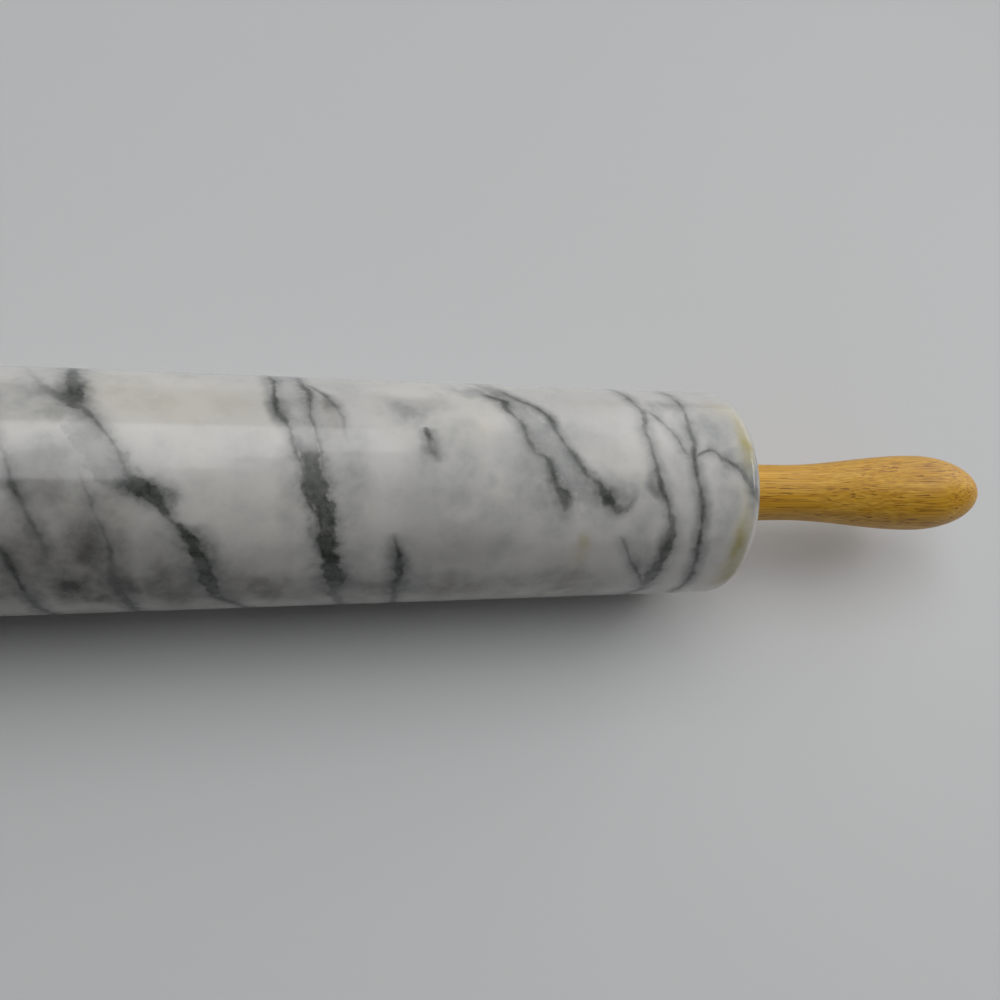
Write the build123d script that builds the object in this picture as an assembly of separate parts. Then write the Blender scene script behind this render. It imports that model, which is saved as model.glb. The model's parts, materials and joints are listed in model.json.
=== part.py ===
from build123d import *
from math import radians, tan
import os

# A marble rolling pin: a polished stone barrel that turns on a steel rod, with a turned wooden handle
# screwed on each end of the rod. The pin lies along X with its middle at the origin. Every piece is round
# about that axis, so each one is a section in the XY plane, with y as its radius, spun about X. The pieces
# of the left end are the mirror images of those of the right end. All sizes are in millimetres.

# Marble barrel
barrel_length = 254.0
barrel_diameter = 61.0
rim_rounding = 4.0
bore_diameter = 14.0
bore_mouth_chamfer = 0.5

# Nylon bushings, glued in the ends of the bore, with a flange on the barrel's end face
glue_gap = 0.05
bushing_depth = 20.0
bushing_lead_in = 1.0
flange_diameter = 20.0
flange_thickness = 1.5
flange_rounding = 0.4

# Steel rod, with a shoulder and a threaded stud at each end
rod_diameter = 8.0
running_clearance = 0.05
end_float = 0.4
shoulder_chamfer = 0.2
stud_diameter = 6.0
stud_length = 22.0
stud_tip_chamfer = 0.8

# Steel washers between the rod's shoulders and the handles
washer_diameter = 12.0
washer_hole_diameter = 6.4
washer_thickness = 1.6
washer_edge_chamfer = 0.2

# Brass inserts in the handles, in which the studs' threads run
insert_diameter = 9.0
insert_length = 14.0
insert_end_chamfer = 0.5
insert_groove_width = 2.5
insert_groove_depth = 0.6
thread_clearance = 0.05

# Wooden handles
handle_length = 98.1
neck_diameter = 17.6
neck_length = 22.5
neck_edge_rounding = 1.0
grip_diameter = 24.8
nose_length = 25.6
swell_easing_share = 1 / 3
pilot_diameter = 7.0
pilot_past_stud = 3.0
drill_point_angle = 118.0

# Places along the right half of the pin
barrel_end = barrel_length / 2
flange_face = barrel_end + flange_thickness
shoulder = flange_face + end_float
stud_tip = shoulder + stud_length
handle_face = shoulder + washer_thickness
handle_tip = handle_face + handle_length


def section(*corners):
    """The flat section of a turned piece, from its corners (place along the pin, radius)."""
    return make_face(Polyline(*corners, close=True))


def corner_at(face, place, radius):
    """The section's corner at this place along the pin and this radius."""
    return face.vertices().sort_by_distance((place, radius, 0))[0]


def turned(face):
    """The solid that the section makes when it is spun about the pin's axis."""
    return revolve(face, Axis.X)


def marble_barrel():
    """The stone cylinder, with rounded rims and a bore from end to end."""
    bore, outside = bore_diameter / 2, barrel_diameter / 2
    face = section((-barrel_end, bore), (barrel_end, bore), (barrel_end, outside), (-barrel_end, outside))
    for end in (-barrel_end, barrel_end):
        face = fillet(corner_at(face, end, outside), rim_rounding)
        face = chamfer(corner_at(face, end, bore), bore_mouth_chamfer)
    return turned(face)


def right_bushing():
    """A flanged nylon bushing in the right end of the bore, in which the rod turns."""
    inside = rod_diameter / 2 + running_clearance
    body = bore_diameter / 2 - glue_gap
    flange = flange_diameter / 2
    inner_end = barrel_end - bushing_depth
    face = section(
        (inner_end, inside),
        (flange_face, inside),
        (flange_face, flange),
        (barrel_end, flange),
        (barrel_end, body),
        (inner_end, body),
    )
    face = chamfer(corner_at(face, inner_end, body), bushing_lead_in)
    face = fillet(corner_at(face, flange_face, flange), flange_rounding)
    return turned(face)


def axle_rod():
    """The steel rod through the barrel, with a shoulder and a threaded stud at each end."""
    rod, stud = rod_diameter / 2, stud_diameter / 2
    face = section(
        (-stud_tip, 0),
        (stud_tip, 0),
        (stud_tip, stud),
        (shoulder, stud),
        (shoulder, rod),
        (-shoulder, rod),
        (-shoulder, stud),
        (-stud_tip, stud),
    )
    for side in (-1, 1):
        face = chamfer(corner_at(face, side * stud_tip, stud), stud_tip_chamfer)
        face = chamfer(corner_at(face, side * shoulder, rod), shoulder_chamfer)
    return turned(face)


def right_washer():
    """The steel washer that the right handle clamps against the rod's shoulder."""
    inside, outside = washer_hole_diameter / 2, washer_diameter / 2
    face = section((shoulder, inside), (handle_face, inside), (handle_face, outside), (shoulder, outside))
    for end in (shoulder, handle_face):
        face = chamfer(corner_at(face, end, outside), washer_edge_chamfer)
    return turned(face)


def right_insert():
    """The brass insert in the right handle, with a groove round its middle that the glue fills."""
    inside = stud_diameter / 2 + thread_clearance
    outside = insert_diameter / 2
    inner_end = handle_face + insert_length
    groove_start = handle_face + (insert_length - insert_groove_width) / 2
    groove_end = groove_start + insert_groove_width
    face = section(
        (handle_face, inside),
        (inner_end, inside),
        (inner_end, outside),
        (groove_end, outside),
        (groove_end, outside - insert_groove_depth),
        (groove_start, outside - insert_groove_depth),
        (groove_start, outside),
        (handle_face, outside),
    )
    for end in (handle_face, inner_end):
        face = chamfer(corner_at(face, end, outside), insert_end_chamfer)
    return turned(face)


def right_handle():
    """The turned handle: a straight neck, a swell to the grip and a round nose, drilled for its insert."""
    neck, grip = neck_diameter / 2, grip_diameter / 2
    insert_seat = insert_diameter / 2 + glue_gap
    pilot = pilot_diameter / 2
    swell_start = handle_face + neck_length
    swell_end = handle_tip - nose_length
    easing = swell_easing_share * (swell_end - swell_start)
    seat_end = handle_face + insert_length
    pilot_end = max(seat_end, stud_tip) + pilot_past_stud
    drill_point = pilot / tan(radians(drill_point_angle / 2))
    inside = Polyline(
        (handle_face, neck),
        (handle_face, insert_seat),
        (seat_end, insert_seat),
        (seat_end, pilot),
        (pilot_end, pilot),
        (pilot_end + drill_point, 0),
        (handle_tip, 0),
    )
    nose = EllipticalCenterArc((swell_end, 0), nose_length, grip, start_angle=0, arc_size=90)
    swell = Bezier(
        (swell_end, grip),
        (swell_end - easing, grip),
        (swell_start + easing, neck),
        (swell_start, neck),
    )
    face = make_face([inside, nose, swell, Line((swell_start, neck), (handle_face, neck))])
    face = fillet(corner_at(face, handle_face, neck), neck_edge_rounding)
    return turned(face)


os.makedirs("parts", exist_ok=True)
export_step(marble_barrel(), "parts/marble_barrel.step")
export_step(axle_rod(), "parts/axle_rod.step")
for name, make_right in (
    ("bushing", right_bushing),
    ("washer", right_washer),
    ("insert", right_insert),
    ("handle", right_handle),
):
    right_piece = make_right()
    export_step(right_piece, f"parts/right_{name}.step")
    export_step(mirror(right_piece, about=Plane.YZ), f"parts/left_{name}.step")
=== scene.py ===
# %% [markdown]
# # A marble rolling pin
# A rolling pin of this kind is a heavy stone barrel on a steel rod, with a wooden handle on each end. Two
# finishes carry its looks: polished marble with dark veins, and varnished hardwood with brown pores. The
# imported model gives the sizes, so this script makes finer meshes and the materials, and then sets up a
# camera, a table and soft light. The pin lies along X, and Z is up.

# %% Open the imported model
import json
import math

import bmesh
import bpy
from mathutils import Matrix, Vector
from mathutils.geometry import interpolate_bezier


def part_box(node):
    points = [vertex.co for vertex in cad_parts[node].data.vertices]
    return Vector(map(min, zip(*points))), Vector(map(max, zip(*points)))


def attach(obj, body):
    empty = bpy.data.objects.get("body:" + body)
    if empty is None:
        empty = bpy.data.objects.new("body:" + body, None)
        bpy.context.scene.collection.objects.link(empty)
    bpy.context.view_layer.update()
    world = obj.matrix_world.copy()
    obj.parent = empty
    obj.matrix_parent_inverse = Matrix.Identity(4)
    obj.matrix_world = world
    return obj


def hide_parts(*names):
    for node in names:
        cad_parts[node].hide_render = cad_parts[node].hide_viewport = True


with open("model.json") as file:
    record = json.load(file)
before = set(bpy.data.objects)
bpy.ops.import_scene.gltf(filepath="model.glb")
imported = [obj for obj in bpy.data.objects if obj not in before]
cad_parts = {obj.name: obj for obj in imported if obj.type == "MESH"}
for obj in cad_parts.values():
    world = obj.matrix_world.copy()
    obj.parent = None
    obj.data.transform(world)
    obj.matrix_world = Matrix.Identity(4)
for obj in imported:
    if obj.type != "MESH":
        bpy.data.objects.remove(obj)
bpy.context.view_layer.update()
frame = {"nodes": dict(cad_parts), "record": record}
MM = 0.001
barrel_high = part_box("marble_barrel")[1]
barrel_end = barrel_high.x
barrel_radius = barrel_high.z
straight_length = frame["record"]["mounts"][0]["dims"]["length_mm"] * MM
rim_rounding = barrel_end - straight_length / 2
print("barrel", round(2 * barrel_end / MM, 1), "mm long,", round(2 * barrel_radius / MM, 1), "mm across")
print("rounding of its rims", round(rim_rounding / MM, 2), "mm")

# %% [markdown]
# ## The camera
# The photograph was taken by hand from about 24 cm, so its perspective is strong: the barrel narrows to the
# right. The camera is set by what can be measured there. Its lens follows from the view's width in pixels,
# its distance from the barrel's width, and its turn from how fast the barrel's two edges draw together.

# %% Camera
IMAGE_PIXELS = 1000
SENSOR_MM = 36.0
focal_pixels = 870.0
camera_distance = 239.1 * MM
camera_past_middle = -13.0 * MM
camera_height_angle = math.radians(68)
camera_turn = math.radians(16.88)
camera_tip = math.radians(-0.53)
camera_roll = math.radians(0.12)


def turned_pair(first, second, angle):
    """Two directions at right angles, turned together so that the first moves towards the second."""
    turned_first = math.cos(angle) * first + math.sin(angle) * second
    return turned_first, math.cos(angle) * second - math.sin(angle) * first


forward = Vector((0, math.cos(camera_height_angle), -math.sin(camera_height_angle)))
right = Vector((1, 0, 0))
up = right.cross(forward)
camera_place = Vector((camera_past_middle, 0, 0)) - camera_distance * forward
forward, right = turned_pair(forward, right, camera_turn)
forward, up = turned_pair(forward, up, camera_tip)
right, up = turned_pair(right, up, camera_roll)

camera = bpy.data.objects.new("camera", bpy.data.cameras.new("camera"))
bpy.context.scene.collection.objects.link(camera)
camera.data.sensor_width = SENSOR_MM
camera.data.lens = focal_pixels / IMAGE_PIXELS * SENSOR_MM
camera.matrix_world = Matrix.Translation(camera_place) @ Matrix((right, up, -forward)).transposed().to_4x4()
bpy.context.scene.camera = camera
print("lens", round(camera.data.lens, 1), "mm, camera at", [round(v / MM) for v in camera_place], "mm")

# %% [markdown]
# ## Helpers for materials
# A material is a small net of nodes. They could be placed by hand in the shader editor, but a script that
# adds them can be read from top to bottom. One function adds a node of any kind and links its inputs, and
# another turns hex colours, as on a paint chart, into the linear values that the shader needs. Two nodes come
# back often. A Map Range that is set to SMOOTH is a ramp that eases in and out, which makes a soft edge. A
# Mix has inputs for each kind of data: its share is number 0, and its two colours are numbers 6 and 7.

# %% Colours and nodes
SMOOTH = {"interpolation_type": "SMOOTHSTEP"}


def linear(hex_colour):
    """A colour written as sRGB hex, as the linear red, green, blue and alpha that Blender needs."""
    shares = [int(hex_colour[i:i + 2], 16) / 255 for i in (1, 3, 5)]
    return [c / 12.92 if c <= 0.04045 else ((c + 0.055) / 1.055) ** 2.4 for c in shares] + [1.0]


def node(tree, kind, inputs=(), out=None, **settings):
    """Adds a node and returns the output that is asked for, or else its first output in use.

    The inputs are a list in the node's own order, or a dictionary by name or number. Each one is a value or
    another node's output.
    """
    added = tree.nodes.new("ShaderNode" + kind)
    for name, value in settings.items():
        setattr(added, name, value)
    for key, value in inputs.items() if isinstance(inputs, dict) else enumerate(inputs):
        if isinstance(value, bpy.types.NodeSocket):
            tree.links.new(value, added.inputs[key])
        else:
            added.inputs[key].default_value = value
    return added.outputs[out] if out else next(output for output in added.outputs if output.enabled)


def new_material(name, **shader_values):
    """A material with its shader's own values set. Returns it, its node tree and its shader."""
    material = bpy.data.materials.new(name)
    material.use_nodes = True
    tree = material.node_tree
    shader = tree.nodes["Principled BSDF"]
    for key, value in shader_values.items():
        shader.inputs[key.replace("_", " ")].default_value = value
    return material, tree, shader


def give(shader, **looks):
    """Links each of these outputs to the shader's input of its name."""
    for key, output in looks.items():
        shader.id_data.links.new(output, shader.inputs[key.replace("_", " ")])


def place_in_mm(tree):
    """The point's own place on its object, in millimetres."""
    place = node(tree, "TexCoord", out="Object")
    return node(tree, "VectorMath", {0: place, "Scale": 1 / MM}, operation="SCALE")


# %% [markdown]
# ## The barrel's mesh
# A lathe makes the barrel, and the mesh is made the same way: a flat section is spun about the pin's axis.
# A cylinder from Blender's menu would need its hole and its rims cut afterwards. The section's corners are
# rounded first instead, and 216 steps round keep the polished edge smooth.

# %% Turned pieces
SPIN_STEPS = 216
ROUNDING_STEPS = 10
SAME_POINT = 0.001 * MM
SMOOTH_BELOW = math.radians(35)


def turned(name, outline, rounded=(), steps=SPIN_STEPS):
    """A mesh object spun about X from an outline of (place along the pin, radius), with corners rounded."""
    bm = bmesh.new()
    corners = [bm.verts.new((along, radius, 0)) for along, radius in outline]
    bm.faces.new(corners)
    for corner, size in rounded:
        bmesh.ops.bevel(
            bm,
            geom=[corners[corner]],
            offset=size,
            segments=ROUNDING_STEPS,
            profile=0.5,
            affect="VERTICES",
            material=-1,
        )
    bmesh.ops.delete(bm, geom=bm.faces[:], context="FACES_ONLY")
    bmesh.ops.spin(
        bm,
        geom=bm.verts[:] + bm.edges[:],
        cent=(0, 0, 0),
        axis=(1, 0, 0),
        angle=math.tau,
        steps=steps,
        use_merge=True,
    )
    bmesh.ops.remove_doubles(bm, verts=bm.verts, dist=SAME_POINT)
    bmesh.ops.dissolve_degenerate(bm, edges=bm.edges, dist=SAME_POINT)
    bmesh.ops.recalc_face_normals(bm, faces=bm.faces)
    mesh = bpy.data.meshes.new(name)
    bm.to_mesh(mesh)
    bm.free()
    mesh.shade_smooth()
    mesh.set_sharp_from_angle(angle=SMOOTH_BELOW)
    piece = bpy.data.objects.new(name, mesh)
    bpy.context.scene.collection.objects.link(piece)
    print(name, len(mesh.polygons), "faces")
    return piece


# %% [markdown]
# The stone's section is a rectangle: the bore inside, the polished round outside, and the two end faces. Its
# outer corners get the rims' rounding, and the bore's corners a small one, because a sharp stone edge chips.

# %% Barrel
bore_radius = 7.0 * MM
bore_rounding = 0.5 * MM
barrel = turned(
    "barrel_stone",
    [
        (-barrel_end, bore_radius),
        (barrel_end, bore_radius),
        (barrel_end, barrel_radius),
        (-barrel_end, barrel_radius),
    ],
    rounded=[(2, rim_rounding), (3, rim_rounding), (0, bore_rounding), (1, bore_rounding)],
)
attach(barrel, "barrel")
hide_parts("marble_barrel")

# %% [markdown]
# ## Where the veins lie
# Veins in marble are thin sheets of darker minerals, which cross the block at a slant. A turned barrel cuts
# them along lines that run round it. They could be painted on a picture, but a drawn line stays sharp at any
# size. Each vein here is a line of points that were read in the photograph. The camera's own ray
# through such a point meets the barrel at a distance along it, in mm, and an angle round it, in degrees: 0 is
# on top, and positive angles are on the viewer's side. The ray is followed in steps as long as the distance
# that is still left to the stone, so no step can jump past it.

# %% From the picture to the stone
SMALLEST_STEP = 0.02 * MM


def outside_by(point):
    """How far a point lies outside the barrel, with its rounded rims. Zero or less is inside."""
    along, radius = abs(point.x), math.hypot(point.y, point.z)
    past_straight = max(0.0, along - (barrel_end - rim_rounding))
    past_flat = max(0.0, radius - (barrel_radius - rim_rounding))
    past_rounding = math.hypot(past_straight, past_flat) - rim_rounding
    return max(past_rounding, along - barrel_end, radius - barrel_radius)


def on_barrel(pixel_x, pixel_y):
    """The millimetres along the barrel and the degrees round it where the camera sees it at this pixel."""
    middle = IMAGE_PIXELS / 2
    ray = forward + (pixel_x - middle) / focal_pixels * right - (pixel_y - middle) / focal_pixels * up
    ray.normalize()
    point = nearest = camera_place
    while outside_by(nearest) > 0 and (point - camera_place).length < 2 * camera_distance:
        point = point + max(outside_by(point), SMALLEST_STEP) * ray
        nearest = min(nearest, point, key=outside_by)
    depth = barrel_radius - math.hypot(nearest.y, nearest.z)
    along = math.copysign(abs(nearest.x) + depth, nearest.x)
    return along / MM, math.degrees(math.atan2(-nearest.y, nearest.z))


middle_vein = (322, 512)
print("the vein across the middle lies at", [round(v, 1) for v in on_barrel(*middle_vein)])

# %% [markdown]
# The lists below hold what was read. A seen point is (pixel x, pixel y, width in mm, darkness), and a hidden
# one, on the sides that the photograph doesn't show, is (mm along, degrees round, width in mm, darkness).
# Hidden points carry each large vein on round the barrel, as a sheet through the stone does. A ring goes all
# the way round. The halo is how many mm the grey beside the vein reaches.

# %% Dark veins
dark_veins = {
    "left_main": {
        "seen": [
            (71, 368, 2.2, 0.55), (73, 388, 2.6, 0.75), (72, 403, 3.4, 0.6), (84, 409, 1.1, 0.55),
            (93, 417, 0.9, 0.6), (105, 432, 0.7, 0.65), (121, 458, 0.7, 0.5), (129, 472, 1.2, 0.65),
            (136, 479, 2.8, 0.85), (141, 485, 4.4, 0.9), (145, 491, 5.2, 0.92), (151, 498, 4.2, 0.9),
            (157, 505, 2.6, 0.85), (163, 513, 1.4, 0.75), (169, 519, 0.8, 0.45), (177, 525, 1.5, 0.8),
            (185, 535, 2.4, 0.9), (195, 550, 2.9, 0.95), (203, 566, 3, 1), (209, 580, 3, 0.95),
            (216, 593, 2.4, 0.9), (230, 602, 1.4, 0.8), (244, 606, 1, 0.7),
        ],
        "hidden": [
            (-7, 105, 1.2, 0.75), (-3, 128, 1.8, 0.85), (-5, 152, 3.2, 0.9), (-12, 180, 2.2, 0.8),
            (-24, 205, 1.2, 0.7), (-34, 228, 2.6, 0.9), (-44, 255, 1.4, 0.75), (-50, 280, 1.6, 0.65),
        ],
        "ring": True,
        "halo": 7.0,
    },
    "left_feeder": {
        "seen": [(27, 370, 1.2, 0.1), (44, 384, 1.5, 0.2), (54, 393, 1.8, 0.3), (66, 404, 1.8, 0)],
        "hidden": [(-66, -75, 0.7, 0)],
        "halo": 4.0,
    },
    "far_left_thin": {
        "seen": [
            (0, 442, 0.5, 0.35), (8, 459, 0.6, 0.5), (11, 475, 0.7, 0.6), (15, 487, 1.2, 0.75),
            (24, 503, 0.9, 0.55), (28, 516, 0.9, 0.5), (37, 530, 1, 0.4), (44, 550, 1.3, 0.25),
        ],
        "hidden": [(-66, -20, 0.5, 0.3), (-70, -44, 0.5, 0), (-51, 66, 1.2, 0)],
        "halo": 3.5,
    },
    "far_left_low": {
        "seen": [(0, 553, 1.1, 0.6), (7, 563, 1.4, 0.85), (15, 575, 1.5, 0.95), (23, 588, 1.5, 0.95)],
        "hidden": [(-64, 38, 0.7, 0), (-57, 88, 1.6, 0.9), (-55, 112, 1.2, 0.6), (-58, 140, 0.8, 0)],
        "halo": 3.0,
    },
    "left_low": {
        "seen": [
            (83, 484, 0.6, 0.25), (91, 500, 0.9, 0.4), (97, 514, 0.8, 0.3), (105, 534, 1, 0.3),
            (111, 550, 1.3, 0.45), (114, 570, 1.4, 0.45), (118, 588, 2.2, 0.7), (124, 600, 2.2, 0.8),
        ],
        "hidden": [(-46, 8, 0.5, 0), (-36, 98, 1.8, 0.7), (-33, 122, 1, 0.4), (-30, 145, 0.8, 0)],
        "halo": 5.0,
    },
    "middle_left_edge": {
        "seen": [
            (268, 376, 0.8, 0.6), (274, 387, 0.9, 0.75), (276, 399, 1, 0.75), (280, 410, 1.3, 0.85),
            (285, 420, 1.2, 0.8), (290, 427, 0.8, 0.6), (294, 438, 0.8, 0.55), (298, 455, 0.9, 0.6),
            (305, 472, 1, 0.6), (309, 500, 1, 0.75), (313, 516, 0.9, 0.55), (318, 540, 0.8, 0),
        ],
        "hidden": [(-6, -75, 0.8, 0.5), (-9, -100, 0.7, 0)],
        "halo": 4.0,
    },
    "middle_right_edge": {
        "seen": [
            (297, 378, 0.8, 0.55), (303, 386, 1.4, 0.6), (309, 395, 1.2, 0.6), (310, 406, 0.6, 0.55),
            (312, 418, 0.5, 0.6), (316, 430, 0.5, 0.55), (318, 441, 0.5, 0.5), (321, 455, 0.6, 0.5),
            (324, 468, 0.7, 0),
        ],
        "hidden": [(1, -70, 0.8, 0.45), (-2, -95, 0.8, 0)],
        "halo": 3.0,
    },
    "middle_band": {
        "seen": [
            (305, 440, 4.6, 0), (309, 452, 4.8, 0.3), (311, 461, 4.8, 0.68), (317, 482, 5.2, 0.6),
            (320, 498, 5.2, 0.76), (323, 514, 4.8, 0.82), (326, 529, 4.4, 0.84), (328, 545, 3.9, 0.88),
            (330, 560, 3.7, 0.94), (331, 573, 4.2, 1), (333, 583, 3.4, 0.85), (336, 598, 2.6, 0.45),
        ],
        "hidden": [
            (14, 108, 1.6, 0.45), (13, 135, 2.6, 0.8), (9, 160, 4.2, 0.9), (4, 190, 3.6, 0.8),
            (-2, 222, 1.8, 0.75), (-8, 250, 3, 0.6), (-9, 270, 2.6, 0),
        ],
        "halo": 7.5,
    },
    "triangle": {
        "seen": [
            (300, 382, 0.6, 0), (316, 391, 0.7, 0.45), (330, 401, 0.6, 0.5), (338, 411, 0.6, 0.45),
            (344, 424, 0.6, 0.3),
        ],
        "hidden": [(12.6, 0, 0.5, 0)],
        "halo": 2.0,
    },
    "short_streak": {
        "seen": [
            (396, 532, 0.7, 0), (398, 545, 1, 0.55), (400, 558, 1.7, 0.9), (399, 572, 2.1, 1),
            (397, 584, 2, 0.95), (394, 597, 1.8, 0.7),
        ],
        "hidden": [(28, 104, 1.2, 0.55), (31, 125, 0.8, 0.6), (37, 150, 1.2, 0.7), (42, 175, 0.8, 0)],
        "halo": 6.5,
    },
    "small_mark": {
        "seen": [
            (428, 427, 0.9, 0), (430, 437, 1.9, 0.85), (431, 446, 1.5, 0.65), (436, 454, 1.6, 0.55),
            (441, 464, 1.2, 0),
        ],
        "halo": 5.5,
    },
    "fork_left_leg": {
        "seen": [
            (479, 391, 1.2, 0.15), (491, 397, 1.5, 0.6), (503, 403, 1.8, 0.8), (507, 411, 1.2, 0.65),
            (515, 418, 0.9, 0.6), (525, 431, 1.2, 0.7), (531, 441, 1.5, 0.55), (538, 451, 1.4, 0.5),
            (546, 458, 0.9, 0.75), (552, 470, 1.1, 0.85), (557, 484, 1.7, 0.85), (564, 495, 2.6, 0.85),
            (564, 503, 1.8, 0.65), (563, 512, 0.8, 0),
        ],
        "hidden": [(43, -62, 1.2, 0)],
        "halo": 5.0,
    },
    "fork_right_leg": {
        "seen": [
            (499, 390, 0.9, 0.3), (508, 396, 0.8, 0.5), (520, 401, 0.8, 0.7), (533, 406, 0.9, 0.75),
            (543, 413, 1.1, 0.8), (553, 425, 1.1, 0.85), (559, 434, 0.7, 0.6), (569, 448, 0.7, 0.65),
            (578, 460, 0.9, 0.75), (586, 470, 1.1, 0.75), (595, 479, 1.1, 0.8), (603, 490, 2.2, 0.78),
            (608, 498, 3, 0.8), (614, 506, 1.8, 0.7), (619, 513, 0.8, 0),
        ],
        "hidden": [
            (52, -62, 1, 0.25), (47, -85, 2.4, 0.8), (42, -112, 1.4, 0.75), (36, -140, 2.8, 0.85),
            (29, -170, 1.4, 0.7), (24, -196, 0.9, 0),
        ],
        "halo": 5.0,
    },
    "right_inner": {
        "seen": [
            (616, 391, 0.9, 0.45), (627, 397, 1.2, 0.55), (637, 406, 1.2, 0.55), (644, 414, 1.8, 0.6),
            (645, 425, 1.2, 0.65), (648, 438, 0.9, 0.6), (652, 453, 0.9, 0.65), (656, 467, 1.6, 0.7),
            (659, 480, 2.2, 0.75), (662, 492, 1.4, 0.75), (666, 502, 1, 0.65), (670, 514, 1.4, 0.6),
            (672, 528, 2, 0.6), (669, 542, 2.7, 0.62), (664, 556, 3.2, 0.66), (658, 567, 3.6, 0.72),
            (651, 577, 3.8, 0.76), (644, 585, 3, 0.7),
        ],
        "hidden": [
            (89, -66, 0.8, 0.5), (84, -88, 0.8, 0.55), (76, -112, 1.4, 0.7), (70, -136, 0.8, 0),
            (95, 100, 1.4, 0.65), (89, 122, 0.9, 0.55), (86, 150, 0.8, 0),
        ],
        "halo": 5.0,
    },
    "right_inner_foot": {
        "seen": [
            (621, 532, 0.6, 0), (624, 543, 0.9, 0.4), (629, 555, 0.9, 0.5), (635, 567, 1, 0.6),
            (641, 579, 1.2, 0.65),
        ],
        "hidden": [(97, 92, 1, 0)],
        "halo": 4.0,
    },
    "right_link": {
        "seen": [
            (643, 408, 0.8, 0), (655, 416, 0.9, 0.5), (667, 428, 0.8, 0.45), (674, 437, 0.7, 0.6),
            (682, 448, 0.7, 0.55), (689, 456, 0.8, 0),
        ],
        "halo": 3.5,
    },
    "right_outer": {
        "seen": [
            (665, 394, 1, 0.4), (676, 402, 1.1, 0.5), (684, 413, 0.9, 0.65), (690, 427, 0.9, 0.8),
            (694, 442, 1, 0.9), (697, 458, 1.1, 0.95), (699, 472, 1.1, 0.85), (701, 492, 0.9, 0.75),
            (703, 510, 1.1, 0.85), (703, 529, 1.1, 0.8), (701, 545, 1.2, 0.85), (696, 561, 1.3, 0.9),
            (689, 578, 1.1, 0.9),
        ],
        "hidden": [
            (110, 90, 1, 0.8), (112, 118, 0.8, 0.7), (109, 150, 1.2, 0.8), (103, 182, 1, 0.7),
            (99, 215, 0.8, 0.75), (101, 250, 1.8, 0.85), (105, 285, 1, 0.6),
        ],
        "ring": True,
        "halo": 4.5,
    },
}

# %% [markdown]
# The rest of the barrel, which the photograph doesn't show, gets veins of the same kinds in the same number.

# %% Veins on the hidden sides
hidden_veins = {
    "left_end_ring": {
        "hidden": [
            (-104, -178, 1, 0.7), (-108, -140, 2.4, 0.85), (-106, -100, 1, 0.7), (-98, -62, 0.8, 0.65),
            (-94, -30, 1.6, 0.8), (-88, 0, 3.6, 0.85), (-84, 28, 2.2, 0.9), (-80, 60, 0.9, 0.65),
            (-82, 95, 1.2, 0.75), (-92, 135, 2.6, 0.85),
        ],
        "ring": True,
        "halo": 7.0,
    },
    "left_end_branch": {
        "hidden": [
            (-92, -22, 0.7, 0), (-98, 0, 0.9, 0.6), (-105, 24, 1.1, 0.75), (-110, 50, 0.9, 0.7),
            (-118, 82, 1.4, 0.8), (-121, 110, 0.8, 0.6), (-124, 140, 0.7, 0),
        ],
        "halo": 5.0,
    },
    "left_back_ring": {
        "hidden": [
            (-72, 120, 0.8, 0), (-68, 150, 1.6, 0.75), (-70, 180, 2.8, 0.85), (-76, 210, 1.2, 0.7),
            (-78, 240, 0.8, 0.6), (-74, 268, 0.8, 0),
        ],
        "halo": 5.0,
    },
    "back_middle": {
        "hidden": [
            (20, -70, 0.7, 0), (22, -92, 1, 0.6), (20, -118, 2, 0.8), (14, -150, 1, 0.7),
            (12, -178, 0.7, 0),
        ],
        "halo": 5.0,
    },
    "bottom_right": {
        "hidden": [
            (58, 118, 0.7, 0), (62, 135, 1.2, 0.6), (66, 160, 2.4, 0.85), (72, 190, 1.2, 0.75),
            (74, 220, 0.8, 0),
        ],
        "halo": 6.0,
    },
}

# %% [markdown]
# Some veins run nearly straight along the barrel. No curve over the angle could follow them, so their place
# round the barrel is a curve over the place along it. Past the rim, at 127 mm, the place along goes on over
# the end face towards the bore.

# %% Veins along the barrel
lengthwise_veins = {
    "right_crossing": {
        "seen": [
            (698, 460, 1, 0), (705, 454, 1, 0.75), (712, 451, 0.9, 0.7), (721, 459, 0.9, 0.65),
            (730, 463, 1, 0.75), (741, 470, 1.3, 0.6), (748, 479, 2.2, 0.42), (754, 490, 3, 0.34),
        ],
        "hidden": [(131, 32, 2.6, 0.3), (140, 42, 1.2, 0.25), (148, 60, 0.8, 0)],
        "halo": 4.5,
    },
    "fork_tail": {
        "seen": [
            (600, 499, 1.4, 0), (609, 502, 2.4, 0.75), (617, 508, 1.8, 0.75), (626, 509, 1.6, 0.5),
            (633, 504, 2, 0.35), (640, 499, 1.6, 0),
        ],
        "halo": 3.5,
    },
    "left_face": {
        "hidden": [
            (-118, -150, 0.8, 0), (-127, -140, 1, 0.6), (-138, -128, 1.2, 0.65), (-148, -110, 0.8, 0.4),
            (-152, -90, 0.6, 0),
        ],
        "halo": 4.0,
    },
    "right_face": {
        "hidden": [
            (120, 120, 0.8, 0), (128, 128, 1.1, 0.6), (138, 142, 1.3, 0.6), (147, 158, 0.8, 0.4),
            (151, 170, 0.6, 0),
        ],
        "halo": 4.0,
    },
    "back_slant": {
        "hidden": [
            (-118, -88, 0.8, 0), (-104, -96, 1, 0.6), (-90, -110, 1.6, 0.75), (-74, -118, 1, 0.65),
            (-58, -134, 2.4, 0.8), (-44, -140, 1, 0.6), (-30, -150, 0.8, 0),
        ],
        "halo": 5.0,
    },
    "back_right_slant": {
        "hidden": [
            (46, -112, 0.8, 0), (56, -104, 1, 0.6), (68, -98, 0.8, 0.7), (80, -84, 1, 0.6),
            (90, -70, 0.8, 0),
        ],
        "halo": 4.0,
    },
}
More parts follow.
